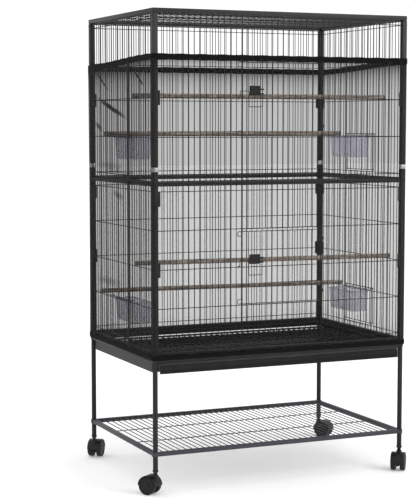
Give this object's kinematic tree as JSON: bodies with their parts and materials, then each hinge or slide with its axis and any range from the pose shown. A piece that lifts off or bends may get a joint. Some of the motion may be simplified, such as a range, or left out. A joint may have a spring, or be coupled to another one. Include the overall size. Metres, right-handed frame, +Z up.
{
  "type": "bird cage on stand",
  "caption": "Two-tier rectangular wire flight cage with net skirt, front doors, side feeders, perches and pull-out tray, on a rolling stand with a wire shelf.",
  "frame": {"origin": "on the floor, below the middle of the cage", "axes": "+X to the cage's right seen from its front, -Y towards its front, +Z up"},
  "size_m": [0.8618, 0.6026, 1.3243],
  "materials": {
    "powder_coat": "satin charcoal powder coat",
    "zinc_plate": "bright zinc plating",
    "dowel_wood": "bare sanded dowel",
    "tray_gloss": "glossy black moulding",
    "cup_plastic": "translucent lilac grey moulding",
    "caster_plastic": "satin black moulding",
    "net_gauze": "fine see-through nylon mesh",
    "net_elastic": "black woven elastic"
  },
  "bodies": {
    "cage": {"lower_post_front_left": "powder_coat", "upper_post_front_left": "powder_coat", "post_connector_front_left": "zinc_plate", "leg_front_left": "powder_coat", "lower_post_front_right": "powder_coat", "upper_post_front_right": "powder_coat", "post_connector_front_right": "zinc_plate", "leg_front_right": "powder_coat", "lower_post_back_left": "powder_coat", "upper_post_back_left": "powder_coat", "post_connector_back_left": "zinc_plate", "leg_back_left": "powder_coat", "lower_post_back_right": "powder_coat", "upper_post_back_right": "powder_coat", "post_connector_back_right": "zinc_plate", "leg_back_right": "powder_coat", "front_panel_lower": "powder_coat", "right_panel_lower": "powder_coat", "back_panel_lower": "powder_coat", "left_panel_lower": "powder_coat", "front_panel_upper": "powder_coat", "right_panel_upper": "powder_coat", "back_panel_upper": "powder_coat", "left_panel_upper": "powder_coat", "roof_panel": "powder_coat", "stand_top_frame": "powder_coat", "shelf": "powder_coat", "tray_runner_right": "powder_coat", "tray_runner_left": "powder_coat", "perch_upper_front": "dowel_wood", "perch_upper_back": "dowel_wood", "perch_lower_front": "dowel_wood", "perch_lower_back": "dowel_wood", "net_skirt": "net_gauze", "net_bottom_elastic": "net_elastic"},
    "door_lower": {"front_door_lower": "powder_coat"},
    "latch_lower": {"door_latch_lower": "powder_coat"},
    "door_upper": {"front_door_upper": "powder_coat"},
    "latch_upper": {"door_latch_upper": "powder_coat"},
    "feeder_door_right_lower": {"feeder_door_right_lower": "powder_coat"},
    "cup_right_lower": {"feeder_cup_right_lower": "cup_plastic"},
    "feeder_door_right_upper": {"feeder_door_right_upper": "powder_coat"},
    "cup_right_upper": {"feeder_cup_right_upper": "cup_plastic"},
    "feeder_door_left_lower": {"feeder_door_left_lower": "powder_coat"},
    "cup_left_lower": {"feeder_cup_left_lower": "cup_plastic"},
    "feeder_door_left_upper": {"feeder_door_left_upper": "powder_coat"},
    "cup_left_upper": {"feeder_cup_left_upper": "cup_plastic"},
    "tray": {"tray": "tray_gloss"},
    "grate": {"floor_grate": "powder_coat"},
    "net_band": {"net_top_elastic": "net_elastic"},
    "caster_front_left": {"caster_housing_front_left": "caster_plastic"},
    "wheels_front_left": {"caster_wheels_front_left": "caster_plastic"},
    "caster_front_right": {"caster_housing_front_right": "caster_plastic"},
    "wheels_front_right": {"caster_wheels_front_right": "caster_plastic"},
    "caster_back_left": {"caster_housing_back_left": "caster_plastic"},
    "wheels_back_left": {"caster_wheels_back_left": "caster_plastic"},
    "caster_back_right": {"caster_housing_back_right": "caster_plastic"},
    "wheels_back_right": {"caster_wheels_back_right": "caster_plastic"}
  },
  "joints": [
    {"name": "front_door_lower_swing", "type": "hinge", "parent": "cage", "child": "door_lower", "pos_m": [0.126, -0.252, 0.6178], "axis": [0, 0, 1], "range_deg": [0, 110]},
    {"name": "door_latch_lower_lift", "type": "slide", "parent": "door_lower", "child": "latch_lower", "axis": [0, 0, 1], "range_m": [0, 0.012]},
    {"name": "front_door_upper_swing", "type": "hinge", "parent": "cage", "child": "door_upper", "pos_m": [0.126, -0.252, 1.0848], "axis": [0, 0, 1], "range_deg": [0, 110]},
    {"name": "door_latch_upper_lift", "type": "slide", "parent": "door_upper", "child": "latch_upper", "axis": [0, 0, 1], "range_m": [0, 0.012]},
    {"name": "feeder_door_right_lower_slide", "type": "slide", "parent": "cage", "child": "feeder_door_right_lower", "axis": [0, 0, 1], "range_m": [0, 0.09]},
    {"name": "feeder_cup_right_lower_lift", "type": "slide", "parent": "cage", "child": "cup_right_lower", "axis": [0, 0, 1], "range_m": [0, 0.012]},
    {"name": "feeder_door_right_upper_slide", "type": "slide", "parent": "cage", "child": "feeder_door_right_upper", "axis": [0, 0, 1], "range_m": [0, 0.09]},
    {"name": "feeder_cup_right_upper_lift", "type": "slide", "parent": "cage", "child": "cup_right_upper", "axis": [0, 0, 1], "range_m": [0, 0.012]},
    {"name": "feeder_door_left_lower_slide", "type": "slide", "parent": "cage", "child": "feeder_door_left_lower", "axis": [0, 0, 1], "range_m": [0, 0.09]},
    {"name": "feeder_cup_left_lower_lift", "type": "slide", "parent": "cage", "child": "cup_left_lower", "axis": [0, 0, 1], "range_m": [0, 0.012]},
    {"name": "feeder_door_left_upper_slide", "type": "slide", "parent": "cage", "child": "feeder_door_left_upper", "axis": [0, 0, 1], "range_m": [0, 0.09]},
    {"name": "feeder_cup_left_upper_lift", "type": "slide", "parent": "cage", "child": "cup_left_upper", "axis": [0, 0, 1], "range_m": [0, 0.012]},
    {"name": "tray_slide", "type": "slide", "parent": "cage", "child": "tray", "axis": [0, -1, 0], "range_m": [0, 0.42]},
    {"name": "floor_grate_slide", "type": "slide", "parent": "cage", "child": "grate", "axis": [0, -1, 0], "range_m": [0, 0.42]},
    {"name": "net_drop", "type": "slide", "parent": "cage", "child": "net_band", "axis": [0, 0, -1], "range_m": [0, 0.7], "deforming": ["net_skirt"]},
    {"name": "caster_front_left_swivel", "type": "hinge", "parent": "cage", "child": "caster_front_left", "pos_m": [-0.387, -0.252, 0.06], "axis": [0, 0, 1], "continuous": true},
    {"name": "caster_front_left_roll", "type": "hinge", "parent": "caster_front_left", "child": "wheels_front_left", "pos_m": [-0.39758, -0.23744, 0.025], "axis": [-0.809, -0.5878, 0], "continuous": true},
    {"name": "caster_front_right_swivel", "type": "hinge", "parent": "cage", "child": "caster_front_right", "pos_m": [0.387, -0.252, 0.06], "axis": [0, 0, 1], "continuous": true},
    {"name": "caster_front_right_roll", "type": "hinge", "parent": "caster_front_right", "child": "wheels_front_right", "pos_m": [0.37592, -0.26618, 0.025], "axis": [0.788, -0.6157, 0], "continuous": true},
    {"name": "caster_back_left_swivel", "type": "hinge", "parent": "cage", "child": "caster_back_left", "pos_m": [-0.387, 0.252, 0.06], "axis": [0, 0, 1], "continuous": true},
    {"name": "caster_back_left_roll", "type": "hinge", "parent": "caster_back_left", "child": "wheels_back_left", "pos_m": [-0.37592, 0.26618, 0.025], "axis": [-0.788, 0.6157, 0], "continuous": true},
    {"name": "caster_back_right_swivel", "type": "hinge", "parent": "cage", "child": "caster_back_right", "pos_m": [0.387, 0.252, 0.06], "axis": [0, 0, 1], "continuous": true},
    {"name": "caster_back_right_roll", "type": "hinge", "parent": "caster_back_right", "child": "wheels_back_right", "pos_m": [0.39758, 0.23744, 0.025], "axis": [0.809, 0.5878, 0], "continuous": true}
  ]
}
